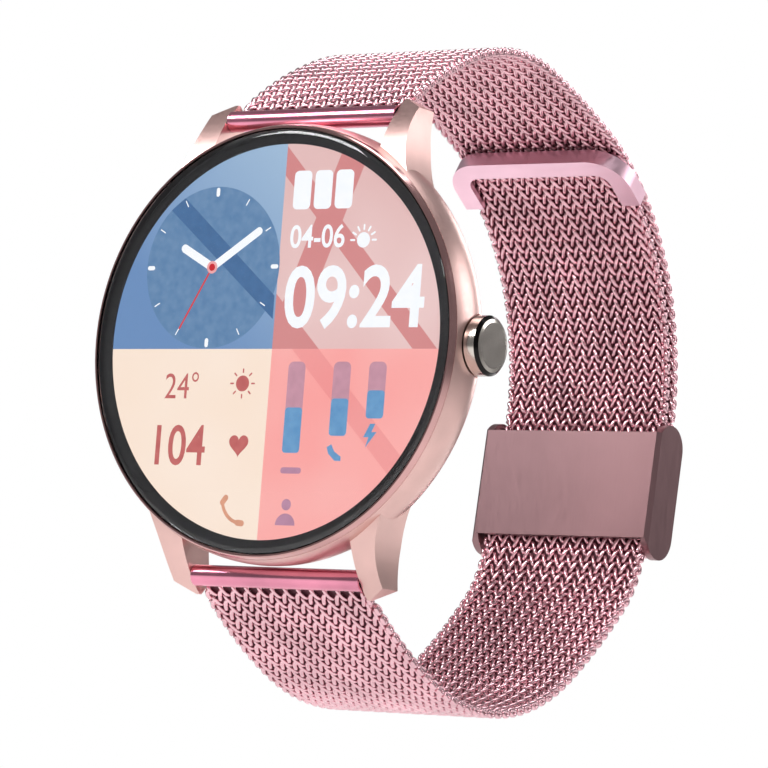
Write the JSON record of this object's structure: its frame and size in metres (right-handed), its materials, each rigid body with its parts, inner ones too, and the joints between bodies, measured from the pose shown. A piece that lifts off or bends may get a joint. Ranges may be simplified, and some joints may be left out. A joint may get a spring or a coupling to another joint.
{
  "type": "round smartwatch",
  "caption": "Round smartwatch with a side crown, curved lugs and a folded woven mesh strap that closes in a magnetic clasp with rounded ears.",
  "frame": {"origin": "middle of the flat sensor window on the back of the case", "axes": "+X towards the crown, -Y out of the display, +Z towards the upper strap lugs"},
  "size_m": [0.0447, 0.0621, 0.0677],
  "materials": {
    "case_rose": "satin",
    "polished_rose": "polished",
    "black_glass": "gloss",
    "adhesive": "matte",
    "display": "gloss",
    "flex": "satin",
    "dark_plastic": "matte",
    "circuit_board": "satin",
    "tinned_steel": "satin",
    "battery_foil": "satin",
    "spring_steel": "satin",
    "seal_rubber": "matte",
    "lamp": "gloss",
    "gold_contact": "polished",
    "crown_silver": "polished",
    "tube_pink": "polished",
    "mesh_pink": "polished",
    "trim_pink": "gloss",
    "clasp_mauve": "satin",
    "magnet": "satin"
  },
  "bodies": {
    "case": {"case_body": "case_rose", "bezel_ring": "polished_rose", "cover_glass": "black_glass", "glass_bond": "adhesive", "display_panel": "display", "display_flex": "flex", "inner_frame": "dark_plastic", "main_board": "circuit_board", "shield_can": "tinned_steel", "microphone": "gold_contact", "battery": "battery_foil", "vibration_motor": "tinned_steel", "speaker": "dark_plastic", "crown_switch": "dark_plastic", "switch_board": "circuit_board", "back_cover": "case_rose", "back_gasket": "seal_rubber", "back_screws": "spring_steel", "sensor_window": "black_glass", "sensor_board": "circuit_board", "sensor_leds": "lamp", "charge_pins": "gold_contact", "crown_tube": "case_rose", "crown_spring": "spring_steel", "upper_bar_tube": "spring_steel", "upper_bar_spring": "spring_steel", "lower_bar_tube": "spring_steel", "lower_bar_spring": "spring_steel"},
    "crown_press_part": {"crown_clip": "spring_steel"},
    "crown": {"crown_cap": "crown_silver", "crown_stem": "spring_steel", "crown_o_ring": "seal_rubber"},
    "upper_pin_a": {"upper_pin_crown": "spring_steel"},
    "upper_pin_b": {"upper_pin_far": "spring_steel"},
    "lower_pin_a": {"lower_pin_crown": "spring_steel"},
    "lower_pin_b": {"lower_pin_far": "spring_steel"},
    "upper_strap_1": {"upper_strap_tube": "tube_pink", "upper_mesh_1": "mesh_pink"},
    "upper_strap_2": {"upper_mesh_2": "mesh_pink"},
    "upper_strap_3": {"upper_mesh_3": "mesh_pink"},
    "upper_strap_4": {"upper_mesh_4": "mesh_pink", "fold_mesh": "mesh_pink", "tail_mesh": "mesh_pink", "tail_end_cap": "trim_pink", "fold_keeper": "tinned_steel"},
    "lower_strap_1": {"lower_strap_tube": "tube_pink", "lower_mesh_1": "mesh_pink"},
    "lower_strap_2": {"lower_mesh_2": "mesh_pink"},
    "lower_strap_3": {"lower_mesh_3": "mesh_pink"},
    "lower_strap_4": {"lower_mesh_4": "mesh_pink"},
    "lower_strap_5": {"lower_mesh_5": "mesh_pink", "clasp_block": "clasp_mauve", "clasp_magnets": "magnet"}
  },
  "joints": [
    {"name": "crown_press", "type": "slide", "parent": "case", "child": "crown_press_part", "axis": [-1, 0, 0], "range_m": [0, 0.0004], "stiffness_N_per_m": 2500, "springref_m": -0.0004},
    {"name": "crown_turn", "type": "hinge", "parent": "crown_press_part", "child": "crown", "pos_m": [0.02, -0.0056, 0], "axis": [1, 0, 0], "continuous": true},
    {"name": "upper_pin_crown_slide", "type": "slide", "parent": "case", "child": "upper_pin_a", "axis": [-1, 0, 0], "range_m": [0, 0.0012], "stiffness_N_per_m": 400, "springref_m": -0.0008},
    {"name": "upper_pin_far_slide", "type": "slide", "parent": "case", "child": "upper_pin_b", "axis": [1, 0, 0], "range_m": [0, 0.0012], "stiffness_N_per_m": 400, "springref_m": -0.0008},
    {"name": "lower_pin_crown_slide", "type": "slide", "parent": "case", "child": "lower_pin_a", "axis": [-1, 0, 0], "range_m": [0, 0.0012], "stiffness_N_per_m": 400, "springref_m": -0.0008},
    {"name": "lower_pin_far_slide", "type": "slide", "parent": "case", "child": "lower_pin_b", "axis": [1, 0, 0], "range_m": [0, 0.0012], "stiffness_N_per_m": 400, "springref_m": -0.0008},
    {"name": "upper_bend_1", "type": "hinge", "parent": "case", "child": "upper_strap_1", "pos_m": [0, -0.005, 0.02265], "axis": [1, 0, 0], "range_deg": [0, 40]},
    {"name": "upper_bend_2", "type": "hinge", "parent": "upper_strap_1", "child": "upper_strap_2", "pos_m": [0, 0.00884, 0.0313], "axis": [1, 0, 0], "range_deg": [0, 24]},
    {"name": "upper_bend_3", "type": "hinge", "parent": "upper_strap_2", "child": "upper_strap_3", "pos_m": [0, 0.02292, 0.03204], "axis": [1, 0, 0], "range_deg": [0, 20]},
    {"name": "upper_bend_4", "type": "hinge", "parent": "upper_strap_3", "child": "upper_strap_4", "pos_m": [0, 0.03448, 0.02787], "axis": [1, 0, 0], "range_deg": [0, 16]},
    {"name": "lower_bend_1", "type": "hinge", "parent": "case", "child": "lower_strap_1", "pos_m": [0, -0.005, -0.02265], "axis": [-1, 0, 0], "range_deg": [0, 14]},
    {"name": "lower_bend_2", "type": "hinge", "parent": "lower_strap_1", "child": "lower_strap_2", "pos_m": [0, 0.00815, -0.0313], "axis": [-1, 0, 0], "range_deg": [0, 10]},
    {"name": "lower_bend_3", "type": "hinge", "parent": "lower_strap_2", "child": "lower_strap_3", "pos_m": [0, 0.02159, -0.03363], "axis": [-1, 0, 0], "range_deg": [0, 8]},
    {"name": "lower_bend_4", "type": "hinge", "parent": "lower_strap_3", "child": "lower_strap_4", "pos_m": [0, 0.0344, -0.02893], "axis": [-1, 0, 0], "range_deg": [0, 6.4]},
    {"name": "lower_bend_5", "type": "hinge", "parent": "lower_strap_4", "child": "lower_strap_5", "pos_m": [0, 0.04386, -0.02093], "axis": [-1, 0, 0], "range_deg": [0, 4.8]}
  ],
  "couplings": [
    {"joint": "upper_bend_2", "follows": "upper_bend_1", "ratio": 0.6},
    {"joint": "upper_bend_3", "follows": "upper_bend_1", "ratio": 0.5},
    {"joint": "upper_bend_4", "follows": "upper_bend_1", "ratio": 0.4},
    {"joint": "lower_bend_1", "follows": "upper_bend_1", "ratio": 0.35},
    {"joint": "lower_bend_2", "follows": "upper_bend_1", "ratio": 0.25},
    {"joint": "lower_bend_3", "follows": "upper_bend_1", "ratio": 0.2},
    {"joint": "lower_bend_4", "follows": "upper_bend_1", "ratio": 0.16},
    {"joint": "lower_bend_5", "follows": "upper_bend_1", "ratio": 0.12}
  ]
}
